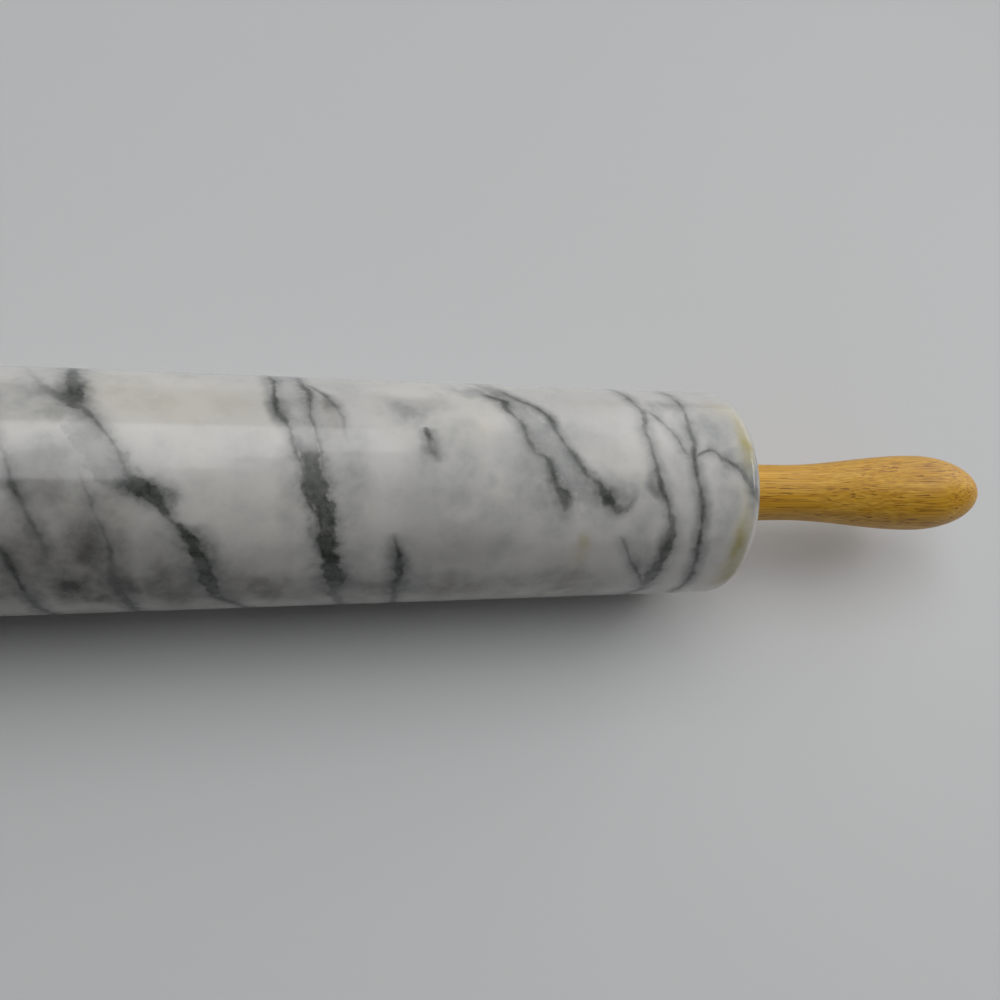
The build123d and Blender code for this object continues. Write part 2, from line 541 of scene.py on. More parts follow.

# %% [markdown]
# Beside the dark lines the stone is clouded. Bands and patches of bluish grey follow the veins, warmer grey
# lies low on the left, the upper left is cream, and a few places near the right rim are stained yellow. The
# warm grey and the smoky dark along the underside and low on the left are partly painted shade, which darkens
# the stone there.
# A band is a list of points, as a vein is, and soft is how many mm its edge takes on each side. A patch is
# (pixel x, pixel y, mm along, mm round, strength), and a hidden one starts with mm along and degrees round.

# %% Clouds and stains
cloud_bands = {
    "left_band": {
        "seen": [
            (72, 404, 4, 0.3), (80, 418, 6, 0.55), (90, 440, 8.5, 0.62), (104, 460, 8, 0.6),
            (124, 480, 6, 0.55), (146, 498, 5, 0.5), (165, 520, 5, 0.25),
        ],
        "hidden": [(-49, -30, 3, 0), (-24, 48, 4, 0)],
        "soft": 1.6,
    },
    "middle_fill": {
        "seen": [
            (282, 378, 6.5, 0.45), (288, 390, 7, 0.42), (294, 405, 6.6, 0.45), (300, 420, 5.4, 0.45),
            (306, 440, 5, 0.5), (310, 455, 5.2, 0.75), (318, 490, 5.4, 0.8),
        ],
        "hidden": [(-3, -75, 6, 0.5), (-6, -110, 4, 0), (8, 36, 4, 0)],
        "soft": 0.8,
    },
    "fork_fill": {
        "seen": [
            (494, 391, 3.4, 0.6), (512, 402, 4, 0.6), (530, 420, 6, 0.54), (548, 440, 7.5, 0.58),
            (566, 462, 8.5, 0.62), (582, 484, 9, 0.62), (592, 500, 9, 0.5),
        ],
        "hidden": [(48, -60, 3, 0.35), (40, -90, 3, 0), (76, 38, 6, 0)],
        "soft": 1.6,
    },
}
patches = {
    "cool": [
        (30, 395, 13, 9, 0.55), (470, 390, 7, 4, 0.65), (412, 409, 9, 5, 0.55), (440, 450, 10, 12, 0.45),
        (470, 460, 8, 9, 0.5), (682, 435, 5, 10, 0.4), (722, 470, 5, 5, 0.35), (450, 490, 12, 12, 0.3),
        (526, 460, 10, 12, 0.5), (500, 520, 14, 10, 0.32), (548, 500, 10, 9, 0.5), (580, 440, 9, 9, 0.35),
        (20, 470, 9, 7, 0.4), (60, 455, 11, 9, 0.5), (292, 500, 4, 14, 0.4), (345, 485, 6, 15, 0.5),
        (350, 440, 5, 7, 0.35), (352, 560, 6, 12, 0.45), (715, 428, 9, 10, 0.7), (735, 455, 6, 8, 0.6),
        (680, 412, 6, 9, 0.55), (655, 412, 5, 7, 0.5), (753, 487, 4.5, 8, 1), (653, 482, 4.5, 5, 0.6),
        (616, 496, 7, 7, 0.6), (404, 585, 7, 12, 0.6), (346, 590, 9, 10, 0.6), (566, 500, 6, 5, 0.6),
        (640, 520, 7, 9, 0.35), (722, 510, 5, 12, 0.35),
    ],
    # The warm patches low on the barrel, along its underside, are painted shade as well as warm grey stone;
    # the two high up are stone tone.
    "warm_grey_and_shade": [
        (86, 540, 11, 16, 0.7), (26, 540, 13, 17, 0.5), (98, 505, 8, 12, 0.62), (50, 500, 12, 10, 0.65),
        (124, 536, 6, 13, 0.5), (328, 409, 4.6, 6.5, 0.62), (250, 590, 22, 11, 0.78),
        (180, 592, 10, 9, 0.65), (370, 592, 14, 9, 0.75), (460, 588, 24, 11, 0.72),
        (570, 582, 18, 11, 0.65), (450, 555, 16, 9, 0.3), (62, 400, 7, 5, 0.5), (150, 545, 8, 12, 0.4),
    ],
    # The smoke patches low on the left, along the underside, are partly painted shade that darkens the stone
    # there; the rest are dark stone.
    "smoke_and_shade": [
        (70, 589, 9, 11, 1), (119, 590, 7, 11, 1), (94, 594, 9, 10, 0.9), (24, 590, 16, 13, 0.62),
        (88, 558, 9, 12, 0.58), (20, 560, 12, 12, 0.46), (160, 588, 14, 12, 0.62), (262, 592, 30, 9, 0.26),
        (650, 574, 4.5, 6.5, 0.6), (663, 552, 3.5, 11, 0.4), (638, 563, 4, 7, 0.35),
        (142, 490, 8, 5.5, 0.35), (205, 570, 4.5, 12, 0.3), (318, 470, 5, 9, 0.3), (333, 584, 7, 7, 0.5),
        (398, 575, 4, 9, 0.5), (431, 445, 3.5, 6, 0.28), (72, 390, 4.5, 6, 0.35), (495, 398, 5, 4.5, 0.35),
        (607, 498, 5, 3.5, 0.4), (563, 497, 3.5, 4, 0.4), (655, 478, 3, 5, 0.3),
    ],
    "cream": [
        (185, 402, 26, 10, 0.34), (250, 412, 10, 9, 0.28), (120, 388, 14, 9, 0.28), (480, 425, 9, 7, 0.25),
        (600, 405, 10, 7, 0.2), (724, 413, 7, 8, 0.8), (738, 425, 5, 8, 0.8), (728, 575, 7, 10, 0.65),
        (742, 520, 5, 12, 0.6),
    ],
    "ochre": [
        (746, 446, 2.8, 9, 0.9), (739, 425, 3, 6, 0.45), (738, 545, 3, 9, 0.95), (728, 572, 4, 7, 0.6),
        (587, 537, 2.6, 3.2, 0.55), (584, 552, 3.8, 6.5, 0.35),
    ],
}
hidden_patches = {
    "cool": [
        (-96, 10, 11, 16, 0.45), (-112, 60, 10, 14, 0.35), (-86, -70, 12, 14, 0.35),
        (-60, -126, 13, 12, 0.5), (-20, 170, 12, 12, 0.45), (30, -120, 10, 14, 0.4), (64, 162, 11, 14, 0.5),
        (100, -140, 9, 16, 0.4), (74, -108, 9, 9, 0.45), (134, -70, 5, 8, 0.5), (-134, 20, 6, 10, 0.45),
        # The long patch on the right rim, at 131 mm, is painted shade that dulls the light along the rounding.
        (131, 22, 3.6, 34, 0.55),
    ],
    "warm_grey_and_shade": [
        (-48, 118, 12, 14, 0.5), (-72, 80, 10, 16, 0.4), (38, 132, 12, 12, 0.3), (-8, -140, 10, 12, 0.3),
    ],
    "smoke_and_shade": [(-10, 172, 6, 7, 0.4), (-92, 14, 6, 8, 0.4), (-60, -130, 6, 5, 0.4), (66, 164, 5, 7, 0.4)],
    "cream": [
        (-112, -30, 14, 14, 0.55), (-28, -100, 16, 14, 0.55), (62, -160, 14, 12, 0.5),
        (118, 140, 8, 14, 0.6), (-122, 160, 8, 14, 0.7),
    ],
    "ochre": [
        (122, -70, 2, 6, 0.6), (-121, -20, 2.4, 7, 0.7), (-119, 100, 2, 5, 0.5), (88, -150, 2.4, 4, 0.4),
    ],
}

# %% [markdown]
# ## The marble
# Marble is packed crystals of calcite about a millimetre across, and its veins are grainy, because dark mica
# sits between the crystals. Little of the light that enters this grey stone comes out again, so a polished
# opaque surface will do. To draw the lists above, the material has to know where each point lies on the
# unrolled barrel. A UV map could say so, but the point's own place gives it more simply, as an angle about
# the axis and a place along it. On the end faces the place along grows by the depth below the outside.

# %% Where a point of the stone lies
DEGREE_MM = math.radians(1) * barrel_radius / MM

marble, tree, shader = new_material("marble_polished", IOR=1.5)
place = place_in_mm(tree)
x, y, z = node(tree, "SeparateXYZ", [place]).node.outputs
off_axis = node(tree, "VectorMath", [place, (0, 1, 1)], operation="MULTIPLY")
radius = node(tree, "VectorMath", [off_axis], operation="LENGTH")
depth = node(tree, "Math", [barrel_radius / MM, radius], operation="SUBTRACT")
end_side = node(tree, "Math", [x], operation="SIGN")
along = node(tree, "Math", [end_side, depth, x], operation="MULTIPLY_ADD")
viewer_side = node(tree, "Math", [y, -1.0], operation="MULTIPLY")
turn = node(tree, "Math", [viewer_side, z], operation="ARCTAN2")
angle = node(tree, "Math", [turn], operation="DEGREES")
print("one degree round the barrel is", round(DEGREE_MM, 3), "mm")

# %% [markdown]
# A line through a few points is too smooth for stone. Two noises move each place a little before the veins
# are drawn: the wide one bends them over a centimetre, and the fine one makes them tremble over a millimetre.

# %% Bending the veins
WIDE_WARP_SIZE = 9.0
WIDE_WARP = 3.2
FINE_WARP_SIZE = 1.6
FINE_WARP = 0.7

wide_noise = node(tree, "TexNoise", {"Vector": place, "Scale": 1 / WIDE_WARP_SIZE}, "Color")
wide_warp = node(tree, "SeparateColor", [wide_noise]).node.outputs
fine_noise = node(tree, "TexNoise", {"Vector": place, "Scale": 1 / FINE_WARP_SIZE, "Detail": 3}, "Color")
fine_warp = node(tree, "SeparateColor", [fine_noise]).node.outputs


def warped(value, channel, unit_mm):
    """A place along or round the barrel, moved by one channel of both noises. One unit of it is unit_mm."""
    for warp, size in ((wide_warp, WIDE_WARP), (fine_warp, FINE_WARP)):
        offset = node(tree, "Math", [warp[channel], 0.5], operation="SUBTRACT")
        value = node(tree, "Math", [offset, size / unit_mm, value], operation="MULTIPLY_ADD")
    return value


bent_along = warped(along, 0, 1.0)
bent_angle = warped(angle, 1, DEGREE_MM)
print("both noises together move a vein by up to", round((WIDE_WARP + FINE_WARP) / 2, 2), "mm")

# %% [markdown]
# The edges of a vein are broken by crystals. One noise swells and narrows every vein, and another shifts its
# edge in and out. The edge itself is soft over a little more than a millimetre, with a grey fringe past it.

# %% Ragged edges
SWELL_SIZE = 2.8
SWELL_LEVELS = (0.30, 0.70)
SWELL_RANGE = (0.65, 1.35)
RAGGED_SIZE = 3.6
RAGGED = 1.0
VEIN_SOFT = 0.68
FRINGE = 2.6

swell_noise = node(
    tree, "TexNoise", {"Vector": place, "Scale": 1 / SWELL_SIZE, "Detail": 3, "Roughness": 0.55}
)
swelling = node(tree, "MapRange", [swell_noise, *SWELL_LEVELS, *SWELL_RANGE], **SMOOTH)
ragged = node(tree, "TexNoise", {"Vector": place, "Scale": 1 / RAGGED_SIZE, "Detail": 3})
edge_in = node(tree, "Math", [ragged, RAGGED, -RAGGED / 2 - VEIN_SOFT], operation="MULTIPLY_ADD")
edge_out = node(tree, "Math", [edge_in, 2 * VEIN_SOFT], operation="ADD")
fringe_out = node(tree, "Math", [edge_out, FRINGE], operation="ADD")
bent_round = node(tree, "Math", [bent_angle, DEGREE_MM], operation="MULTIPLY")
print("a vein fades over", 2 * VEIN_SOFT, "mm, and its fringe over", FRINGE, "mm more")

# %% [markdown]
# A vein follows a smooth line through its points, and an RGB Curves node holds just such a line, in three
# channels: one for the vein's place, one for its width and one for its darkness. A curve node runs from 0 to
# 1, so all values are turned to shares of their span first and turned back after it. A straight vein has no
# span of its own, so every span gets a millimetre to spare.

# %% The curves of a vein
SPARE_SPAN = 1.0


def vein_path(vein):
    """The vein's points as (mm along, degrees round, width, darkness), from both of its lists."""
    path = [(*on_barrel(x, y), width, dark) for x, y, width, dark in vein.get("seen", ())]
    return path + list(vein.get("hidden", ()))


def smooth_lines(tree, share, columns):
    """Three values, each on a smooth line through its own (share, value) points."""
    triple = node(tree, "CombineColor", [share, share, share])
    lines = node(tree, "RGBCurve", {"Color": triple})
    mapping = lines.node.mapping
    for curve, points in zip(mapping.curves, columns):
        curve.points[0].location = points[0]
        curve.points[1].location = points[-1]
        for point in points[1:-1]:
            curve.points.new(*point)
    mapping.extend = "HORIZONTAL"
    mapping.update()
    return node(tree, "SeparateColor", [lines]).node.outputs


# %% [markdown]
# The same lines draw a thin vein and a wide cloud. Both are bands: a middle with half a width on each side.
# At every point of the stone the band gives how far outside it that point lies. A smooth ramp over that
# distance is then the vein, and a longer ramp its halo. A ring's line has to close, so it ends a turn later.

# %% A band round the stone
def band(tree, run, across, path, per_run, ring=False):
    """The distance in mm from a band's edge, less than 0 inside it, and the band's darkness there.

    The path holds (run, across, width, darkness). The run is what the band follows, and per_run is how many
    mm of stone one unit of it covers, which widens a slanting band to keep its true width. A run in degrees
    that passes the back of the barrel is counted on from the path's start.
    """
    path = sorted(path)
    if ring:
        first = path[0]
        path.append((first[0] + 360, *first[1:]))
    start, end = path[0][0], path[-1][0]
    low = min(point[1] for point in path)
    span = max(point[1] for point in path) - low + SPARE_SPAN
    half_widths = []
    for i, (_, _, width, _) in enumerate(path):
        before, after = path[max(i - 1, 0)], path[min(i + 1, len(path) - 1)]
        slope = (after[1] - before[1]) / ((after[0] - before[0]) * per_run)
        half_widths.append(width / 2 * math.hypot(1, slope))
    widest = max(half_widths)
    shares = [(point[0] - start) / (end - start) for point in path]
    columns = [
        [(share, (point[1] - low) / span) for share, point in zip(shares, path)],
        [(share, half / widest) for share, half in zip(shares, half_widths)],
        [(share, point[3]) for share, point in zip(shares, path)],
    ]
    past_behind = start < -180 or end > 180
    if per_run != 1 and past_behind:
        run = node(tree, "Math", [run, start + 360, start], operation="WRAP")
    share = node(tree, "Math", [run, 1 / (end - start), -start / (end - start)], operation="MULTIPLY_ADD")
    middle, half, dark = smooth_lines(tree, share, columns)
    middle = node(tree, "Math", [middle, span, low], operation="MULTIPLY_ADD")
    offset = node(tree, "Math", [across, middle], operation="SUBTRACT")
    apart = node(tree, "Math", [offset], operation="ABSOLUTE")
    swollen = node(tree, "Math", [half, swelling], operation="MULTIPLY")
    return node(tree, "Math", [swollen, -widest, apart], operation="MULTIPLY_ADD"), dark


# %% [markdown]
# Every vein adds to three layers: the dark line itself, the fringe beside it, and the grey halo round both.
# Where two veins cross, stone isn't twice as dark, so a layer keeps the larger of the two amounts.

# %% All veins
HALO_START = -1.0
HALO = 0.55

layers = {"vein": 0.0, "fringe": 0.0, "halo": 0.0}
for veins, lengthwise in ((dark_veins | hidden_veins, False), (lengthwise_veins, True)):
    for vein in veins.values():
        if lengthwise:
            path = [(mm, turn * DEGREE_MM, width, dark) for mm, turn, width, dark in vein_path(vein)]
            apart, dark = band(tree, bent_along, bent_round, path, 1)
        else:
            path = [(turn, mm, width, dark) for mm, turn, width, dark in vein_path(vein)]
            apart, dark = band(tree, bent_angle, bent_along, path, DEGREE_MM, vein.get("ring", False))
        reaches = (
            ("vein", edge_in, edge_out),
            ("fringe", edge_in, fringe_out),
            ("halo", HALO_START, vein["halo"]),
        )
        for layer, inner, outer in reaches:
            amount = node(tree, "MapRange", [apart, inner, outer, dark, 0.0], **SMOOTH)
            layers[layer] = node(tree, "Math", [layers[layer], amount], operation="MAXIMUM")
layers["cool"] = node(tree, "Math", [layers["halo"], HALO], operation="MULTIPLY")
for cloud in cloud_bands.values():
    path = [(turn, mm, width, dark) for mm, turn, width, dark in vein_path(cloud)]
    apart, dark = band(tree, bent_angle, bent_along, path, DEGREE_MM)
    amount = node(tree, "MapRange", [apart, -cloud["soft"], cloud["soft"], dark, 0.0], **SMOOTH)
    layers["cool"] = node(tree, "Math", [layers["cool"], amount], operation="MAXIMUM")
print(len(dark_veins) + len(hidden_veins), "veins round the barrel and", len(lengthwise_veins), "along it")

# %% [markdown]
# A patch is a soft spot. It could be one more smooth ramp, but Cycles has room for only about a hundred ramps
# in one material, and past that the stone would turn black. So a spot is a bell curve: e to the power of
# minus the squared distance. The largest power gives the largest bell, so e is raised only once for each
# layer. A bell has a long faint tail, which is cut off by taking a small share away.

# %% Patches
CLOUD_WARP_SIZE = 16.0
NEAR_SHIFT = 7.0
FAR_SHIFT = 20.0
SPOT_FADE = 1.32
SPOT_TAIL = 0.06
NO_SPOT = -10.0

flat_place = node(tree, "CombineXYZ", [bent_along, bent_round])
cloud_noise = {"Vector": place, "Scale": 1 / CLOUD_WARP_SIZE, "Detail": 3, "Roughness": 0.6}
cloud_warp = node(tree, "TexNoise", cloud_noise, "Color")
cloud_shift = node(tree, "VectorMath", [cloud_warp, (0.5, 0.5, 0.5)], operation="SUBTRACT")


def cloud_place(shift):
    """The place on the unrolled barrel in mm, moved by the clouds' noise by up to about half this shift."""
    return node(tree, "VectorMath", [cloud_shift, (shift, shift, 0.0), flat_place], operation="MULTIPLY_ADD")


def patch(unrolled, mm, turn, mm_along, mm_round, strength):
    """A soft spot of the stone, as the power of e that is its strength there."""
    per_size = (1 / mm_along, 1 / mm_round, 0)
    start = (-mm / mm_along, -(turn * DEGREE_MM) / mm_round, 0)
    spot = node(tree, "VectorMath", [unrolled, per_size, start], operation="MULTIPLY_ADD")
    far = node(tree, "VectorMath", [spot, spot], operation="DOT_PRODUCT")
    top = math.log(strength * (1 - SPOT_TAIL) + SPOT_TAIL)
    return node(tree, "Math", [far, -SPOT_FADE, top], operation="MULTIPLY_ADD")


near_place, far_place = cloud_place(NEAR_SHIFT), cloud_place(FAR_SHIFT)
for layer, spots in patches.items():
    unrolled = near_place if layer in ("smoke_and_shade", "ochre") else far_place
    places = [(*on_barrel(px, py), *rest) for px, py, *rest in spots]
    strongest = NO_SPOT
    for spot in places + hidden_patches[layer]:
        strongest = node(tree, "Math", [strongest, patch(unrolled, *spot)], operation="MAXIMUM")
    strength = node(tree, "Math", [strongest], operation="EXPONENT")
    grown = [strength, 1 / (1 - SPOT_TAIL), -SPOT_TAIL / (1 - SPOT_TAIL)]
    amount = node(tree, "Math", grown, operation="MULTIPLY_ADD")
    layers[layer] = node(tree, "Math", [layers.get(layer, 0.0), amount], operation="MAXIMUM")
    print(layer, "has", len(spots), "patches in view and", len(hidden_patches[layer]), "out of view")

# %% [markdown]
# Now the colours are laid over each other, as glazes are. First comes the pale stone with its clouds and its
# crystals, then each tint by its layer. The clouds break up the tints too, or they would look airbrushed. In
# these lines a pair of levels says between which values of a noise something grows, and a share how much.

# %% The pale stone and its tints
LARGE_CLOUD_SIZE = 34.0
LARGE_CLOUD_LEVELS = (0.35, 0.68)
SMALL_CLOUD_SIZE = 7.0
SMALL_CLOUD_LEVELS = (0.42, 0.75)
SMALL_CLOUD_SHARE = 0.30
CRYSTAL_SIZE = 1.1
CRYSTAL_SHARE = 0.10
STREAK_LEVELS = (0.3, 0.7)
STREAK_RANGE = (0.70, 1.15)
FRINGE_LEVELS = (0.35, 0.65)
FRINGE_RANGE = (0.50, 1.00)

large_noise = node(
    tree, "TexNoise", {"Vector": place, "Scale": 1 / LARGE_CLOUD_SIZE, "Detail": 3, "Roughness": 0.55}
)
large_clouds = node(tree, "MapRange", [large_noise, *LARGE_CLOUD_LEVELS], **SMOOTH)
small_clouds = node(
    tree, "TexNoise", {"Vector": place, "Scale": 1 / SMALL_CLOUD_SIZE, "Detail": 4, "Roughness": 0.6}
)
crystals = node(
    tree, "TexVoronoi", {"Vector": place, "Scale": 1 / CRYSTAL_SIZE, "Randomness": 1.0}, "Color"
)
crystal_tone = node(tree, "SeparateColor", [crystals])

colour = node(
    tree, "Mix", {0: large_clouds, 6: linear("#D3D1CC"), 7: linear("#C5C4C2")}, data_type="RGBA"
)
share = node(tree, "MapRange", [small_clouds, *SMALL_CLOUD_LEVELS, 0.0, SMALL_CLOUD_SHARE], **SMOOTH)
colour = node(tree, "Mix", {0: share, 6: colour, 7: linear("#A2A4A5")}, data_type="RGBA")
share = node(tree, "MapRange", [crystal_tone, 0.0, 1.0, 0.0, CRYSTAL_SHARE])
colour = node(tree, "Mix", {0: share, 6: colour, 7: linear("#DAD8D4")}, data_type="RGBA")
streaks = node(tree, "MapRange", [small_clouds, *STREAK_LEVELS, *STREAK_RANGE], **SMOOTH)
# The warm grey and smoke tints carry painted shade on the underside and low on the left, as well as stone
# tone.
tints = (
    ("cream", "#C8C1AC"),
    ("warm_grey_and_shade", "#73706A"),
    ("cool", "#808484"),
    ("smoke_and_shade", "#363833"),
    ("ochre", "#A2985A"),
)
for layer, tint in tints:
    share = node(tree, "Math", [layers[layer], streaks], operation="MULTIPLY")
    colour = node(tree, "Mix", {0: share, 6: colour, 7: linear(tint)}, data_type="RGBA")
fringe_break = node(tree, "MapRange", [small_clouds, *FRINGE_LEVELS, *FRINGE_RANGE], **SMOOTH)
share = node(tree, "Math", [layers["fringe"], fringe_break], operation="MULTIPLY")
colour = node(tree, "Mix", {0: share, 6: colour, 7: linear("#686B69")}, data_type="RGBA")
print("tints of the stone:", ", ".join(layer for layer, _ in tints))

# %% [markdown]
# The veins come last. Their mineral is mottled dark and less dark, and in places it thins out, so that pale
# crystals show through. The rims are painted greyer: painted shade that dulls the bright line light draws
# along them.

# %% The dark veins and the rims
MOTTLE_SIZE = 3.2
MOTTLE_LEVELS = (0.36, 0.66)
THIN_SIZE = 5.0
THIN_LEVELS = (0.34, 0.56)
THIN_RANGE = (0.60, 1.08)
RIM_SHADE_DEPTHS = (0.1, 1.4)
RIM_SHADE_SHARE = 0.42

mottle = node(
    tree, "TexNoise", {"Vector": place, "Scale": 1 / MOTTLE_SIZE, "Detail": 4, "Roughness": 0.6}
)
speckle = node(tree, "MapRange", [mottle, *MOTTLE_LEVELS], **SMOOTH)
vein_colour = node(
    tree, "Mix", {0: speckle, 6: linear("#333633"), 7: linear("#545754")}, data_type="RGBA"
)
thin_noise = node(
    tree, "TexNoise", {"Vector": place, "Scale": 1 / THIN_SIZE, "Detail": 3, "Roughness": 0.6}
)
thinned = node(tree, "MapRange", [thin_noise, *THIN_LEVELS, *THIN_RANGE], **SMOOTH)
share = node(tree, "Math", [layers["vein"], thinned], operation="MULTIPLY")
colour = node(tree, "Mix", {0: share, 6: colour, 7: vein_colour}, data_type="RGBA")
# Painted shade: the rounding and the end faces are greyed, to dull the light that grazes them.
share = node(tree, "MapRange", [depth, *RIM_SHADE_DEPTHS, 0.0, RIM_SHADE_SHARE], **SMOOTH)
colour = node(tree, "Mix", {0: share, 6: colour, 7: linear("#7E8180")}, data_type="RGBA")
print("veins are mottled over", MOTTLE_SIZE, "mm, and rims turn grey", RIM_SHADE_DEPTHS[1], "mm deep")

# %% [markdown]
# Calcite takes a high polish, and the softer mineral of the veins a slightly duller one. The rims and the end
# faces are only ground, so the gloss fades over the first millimetre of the rounding. With that the material
# is complete, and its ramps are counted.

# %% The polish
POLISH = 0.13
VEIN_POLISH = 0.24
GROUND = 0.40
GROUND_DEPTHS = (0.05, 1.2)

vein_rough = node(tree, "MapRange", [layers["vein"], 0.0, 1.0, POLISH, VEIN_POLISH])
rim_rough = node(tree, "MapRange", [depth, *GROUND_DEPTHS, 0.0, GROUND], **SMOOTH)
roughness = node(tree, "Math", [vein_rough, rim_rough], operation="MAXIMUM")
give(shader, Base_Color=colour, Roughness=roughness)
barrel.data.materials.append(marble)
ramps = [n for n in tree.nodes if n.bl_idname == "ShaderNodeMapRange"]
print("marble:", len(tree.nodes), "nodes,", len(ramps), "of them ramps")

# %% [markdown]
# ## The handles
# Each handle is turned from one piece of light hardwood: a straight neck, a slow swell to the grip and a
# round nose. It is drilled from its neck for the brass insert and for the end of the rod's stud. Like the
# barrel it is a spun section. Its nose is a quarter of an ellipse, and its swell is one smooth curve, because
# straight cuts would show as rings in the varnish.

# %% The handle's section
neck_radius = 8.8 * MM
neck_length = 22.5 * MM
neck_edge = 1.0 * MM
nose_length = 25.6 * MM
swell_easing_share = 1 / 3
seat_gap = 0.05 * MM
pilot_radius = 3.5 * MM
pilot_past_stud = 3.0 * MM
drill_point_angle = math.radians(118)
NOSE_STEPS = 24
SWELL_POINTS = 40

handle_low, handle_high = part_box("right_handle")
insert_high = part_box("right_insert")[1]
rod_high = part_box("axle_rod")[1]
handle_face, handle_tip, grip_radius = handle_low.x, handle_high.x, handle_high.z
swell_start = handle_face + neck_length
swell_end = handle_tip - nose_length
easing = swell_easing_share * (swell_end - swell_start)
seat_radius = insert_high.z + seat_gap
pilot_end = rod_high.x + pilot_past_stud
drill_point = pilot_radius / math.tan(drill_point_angle / 2)

nose_turns = [math.radians(90) * i / NOSE_STEPS for i in range(NOSE_STEPS)]
nose = [(swell_end + nose_length * math.cos(turn), grip_radius * math.sin(turn)) for turn in nose_turns]
swell = interpolate_bezier(
    Vector((swell_end, grip_radius)),
    Vector((swell_end - easing, grip_radius)),
    Vector((swell_start + easing, neck_radius)),
    Vector((swell_start, neck_radius)),
    SWELL_POINTS,
)
handle_outline = [
    (handle_face, neck_radius),
    (handle_face, seat_radius),
    (insert_high.x, seat_radius),
    (insert_high.x, pilot_radius),
    (pilot_end, pilot_radius),
    (pilot_end + drill_point, 0),
    *nose,
    *[(point.x, point.y) for point in swell],
]
print("the grip is", round(2 * grip_radius / MM, 1), "mm thick")

# %% [markdown]
# Both handles have the same section, so the left one is that section mirrored. Its outline is mirrored before
# it is spun, which keeps both meshes at the origin and unscaled.

# %% Both handles
HANDLE_SPIN_STEPS = 128

handles = []
for side, sign in (("right", 1), ("left", -1)):
    outline = [(sign * along, radius) for along, radius in handle_outline]
    handle = turned(side + "_handle_wood", outline, rounded=[(0, neck_edge)], steps=HANDLE_SPIN_STEPS)
    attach(handle, "handles")
    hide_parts(side + "_handle")
    handles.append(handle)

# %% [markdown]
# ## The wood
# The handles look like rubberwood, a light hardwood with wide pores. Cut along the grain, each pore is a
# short brown dash, 4 to 12 mm long and about half a millimetre wide, and the dashes crowd together where a
# growth ring began. A picture of wood could be wrapped round the handle, but the real one is cut from solid
# wood, so the figure has to run through it. Noise in three dimensions, drawn out along the grain, does that.
# The growth rings are the height through the wood, bent by a slow noise and folded back and forth.

# %% Pores and growth rings
PORE_LENGTH = 8.0
PORE_WIDTH = 0.42
PORE_SOFT = 0.07
PORE_LEVELS = (0.66, 0.57)
FIBRE_LENGTH = 30.0
FIBRE_WIDTH = 0.35
FIGURE_LENGTH = 45.0
FIGURE_WIDTH = 9.0
RING_WIDTH = 4.5
RING_WAVE = 14.0
RING_SLANT = 0.5

wood, tree, shader = new_material("wood_varnished", IOR=1.38, Coat_Weight=0.06, Coat_Roughness=0.3)
place = place_in_mm(tree)


def along_grain(length, width):
    """The place in the wood, counted in lengths along the grain and in widths across it."""
    return node(tree, "VectorMath", [place, (1 / length, 1 / width, 1 / width)], operation="MULTIPLY")


pore_place = along_grain(PORE_LENGTH, PORE_WIDTH)
pore_noise = node(tree, "TexNoise", {"Vector": pore_place, "Scale": 1.0, "Detail": 1.0})
fibre_place = along_grain(FIBRE_LENGTH, FIBRE_WIDTH)
fibres = node(tree, "TexNoise", {"Vector": fibre_place, "Scale": 1.0, "Detail": 3.0})
figure = node(tree, "TexNoise", {"Vector": along_grain(FIGURE_LENGTH, FIGURE_WIDTH), "Scale": 1.0})
_, y, z = node(tree, "SeparateXYZ", [place]).node.outputs
slanting = node(tree, "Math", [y, RING_SLANT, z], operation="MULTIPLY_ADD")
ring_place = node(tree, "Math", [figure, RING_WAVE, slanting], operation="MULTIPLY_ADD")
ring = node(tree, "Math", [ring_place, RING_WIDTH], operation="PINGPONG")
early = node(tree, "MapRange", [ring, 0.0, RING_WIDTH], **SMOOTH)
pore_edge = node(tree, "MapRange", [early, 0.0, 1.0, *PORE_LEVELS], **SMOOTH)
past_edge = node(tree, "Math", [pore_noise, pore_edge], operation="SUBTRACT")
pores = node(tree, "MapRange", [past_edge, 0.0, PORE_SOFT], **SMOOTH)
print("wood pores are about", PORE_LENGTH, "by", PORE_WIDTH, "mm")

# %% [markdown]
# The varnish evens out the colour to honey. Pale streaks, darker fibres, the rings and last the brown pores
# are laid over it, each by its own share. Varnish fills the pores only in part, so they dent the surface too.

# %% Colour and varnish
STREAK_LENGTH = 26.0
STREAK_WIDTH = 1.1
STREAK_LEVELS = (0.42, 0.66)
STREAK_SHARE = 0.55
FIBRE_LEVELS = (0.38, 0.66)
FIBRE_SHARE = 0.62
RING_SHARE = 0.22
PORE_SHARE = 0.78
VARNISH_ROUGHNESS = (0.42, 0.5)
FIBRE_HEIGHT = 0.25
PORE_DENT = 0.015 * MM
WOOD_BUMP = 0.25

